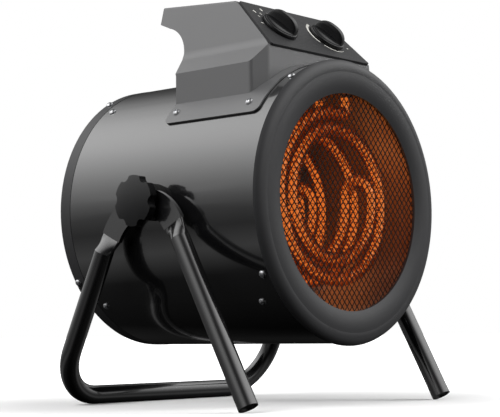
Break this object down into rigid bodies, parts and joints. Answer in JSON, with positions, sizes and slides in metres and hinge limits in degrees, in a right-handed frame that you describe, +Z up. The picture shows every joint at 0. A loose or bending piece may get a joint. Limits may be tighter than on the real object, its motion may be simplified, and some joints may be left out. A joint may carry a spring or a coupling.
{
  "type": "drum fan heater",
  "caption": "Round drum fan heater with finned elements behind a mesh, a sloped control panel with two dials, and a bent tube stand it tilts on between star knobs.",
  "frame": {"origin": "on the floor under the middle of the object's bounding box", "axes": "+Z up, hot air leaves towards -Y, +X is the right-hand side seen from behind the control panel looking at the outlet's back"},
  "size_m": [0.2844, 0.2321, 0.342],
  "materials": {
    "drum_gloss": "high gloss black enamel",
    "bezel_satin": "satin black powder coat",
    "grille_black": "black coated expanded metal",
    "zinc_screw": "bright zinc plate",
    "duct_steel": "galvanised sheet",
    "motor_steel": "plain steel",
    "copper_winding": "enamelled copper",
    "bearing_bronze": "sintered bronze",
    "element_sheath": "hot finned sheath, glowing orange",
    "ceramic_ferrule": "glazed ceramic",
    "plastic_black": "moulded black nylon",
    "plastic_white": "moulded white nylon",
    "housing_satin": "satin dark grey powder coat",
    "panel_black": "fine textured dark coat",
    "rubber_black": "soft black rubber",
    "zinc_steel": "zinc plated steel",
    "tube_gloss": "gloss black powder coat",
    "fan_aluminium": "stamped aluminium"
  },
  "bodies": {
    "stand": {"rear_frame": "tube_gloss"},
    "drum": {"drum_casing": "drum_gloss", "rear_ring": "bezel_satin", "front_bezel": "bezel_satin", "front_grille": "grille_black", "rear_grille": "grille_black", "ring_screws": "zinc_screw", "bezel_screws": "zinc_screw", "bracket_screws": "zinc_screw", "duct_screws": "zinc_screw", "housing_screws": "zinc_screw", "air_duct": "duct_steel", "motor_bracket": "duct_steel", "motor_shell": "motor_steel", "motor_stator": "motor_steel", "motor_windings": "copper_winding", "bearing_front": "bearing_bronze", "bearing_rear": "bearing_bronze", "motor_screws": "zinc_screw", "heating_element_front": "element_sheath", "heating_element_rear": "element_sheath", "element_ferrules": "ceramic_ferrule", "thermal_cutout": "plastic_black", "control_housing": "housing_satin", "control_panel": "panel_black", "selector_switch": "plastic_black", "thermostat": "plastic_black", "terminal_block": "plastic_white", "cable_bushing": "rubber_black", "pivot_pad_left": "rubber_black", "pivot_pad_right": "rubber_black", "pivot_nut_left": "zinc_steel", "pivot_nut_right": "zinc_steel"},
    "leg_left": {"front_leg_left": "tube_gloss", "leg_plug_left": "plastic_black"},
    "leg_right": {"front_leg_right": "tube_gloss", "leg_plug_right": "plastic_black"},
    "clamp_left": {"pivot_washer_left": "zinc_steel"},
    "clamp_right": {"pivot_washer_right": "zinc_steel"},
    "star_left": {"star_knob_left": "plastic_black", "knob_stud_left": "zinc_steel"},
    "star_right": {"star_knob_right": "plastic_black", "knob_stud_right": "zinc_steel"},
    "fan": {"fan_blade": "fan_aluminium", "motor_rotor": "motor_steel", "fan_nut": "zinc_steel"},
    "selector": {"selector_knob": "plastic_black", "selector_shaft": "zinc_steel"},
    "heat_dial": {"thermostat_knob": "plastic_black", "thermostat_shaft": "zinc_steel"}
  },
  "joints": [
    {"name": "drum_tilt", "type": "hinge", "parent": "stand", "child": "drum", "pos_m": [0, 0, 0.165], "axis": [1, 0, 0], "range_deg": [-30, 30]},
    {"name": "leg_left_fold", "type": "hinge", "parent": "stand", "child": "leg_left", "pos_m": [-0.126, 0, 0.165], "axis": [1, 0, 0], "range_deg": [-75, 45]},
    {"name": "leg_right_fold", "type": "hinge", "parent": "stand", "child": "leg_right", "pos_m": [0.126, 0, 0.165], "axis": [1, 0, 0], "range_deg": [-75, 45]},
    {"name": "clamp_left_travel", "type": "slide", "parent": "drum", "child": "clamp_left", "axis": [-1, 0, 0], "range_m": [0, 0.0025]},
    {"name": "star_left_turn", "type": "hinge", "parent": "clamp_left", "child": "star_left", "pos_m": [-0.14, 0, 0.165], "axis": [-1, 0, 0], "range_deg": [0, 720]},
    {"name": "clamp_right_travel", "type": "slide", "parent": "drum", "child": "clamp_right", "axis": [1, 0, 0], "range_m": [0, 0.0025]},
    {"name": "star_right_turn", "type": "hinge", "parent": "clamp_right", "child": "star_right", "pos_m": [0.14, 0, 0.165], "axis": [1, 0, 0], "range_deg": [0, 720]},
    {"name": "fan_spin", "type": "hinge", "parent": "drum", "child": "fan", "pos_m": [0, 0.014, 0.165], "axis": [0, 1, 0], "continuous": true},
    {"name": "selector_turn", "type": "hinge", "parent": "drum", "child": "selector", "pos_m": [-0.031, -0.06245, 0.31126], "axis": [0, -0.7055, 0.7087], "range_deg": [0, 135]},
    {"name": "heat_dial_turn", "type": "hinge", "parent": "drum", "child": "heat_dial", "pos_m": [0.031, -0.06245, 0.31126], "axis": [0, -0.7055, 0.7087], "range_deg": [0, 270]}
  ],
  "couplings": [
    {"joint": "clamp_left_travel", "follows": "star_left_turn", "m_per_rad": 0.00019894},
    {"joint": "clamp_right_travel", "follows": "star_right_turn", "m_per_rad": 0.00019894}
  ]
}
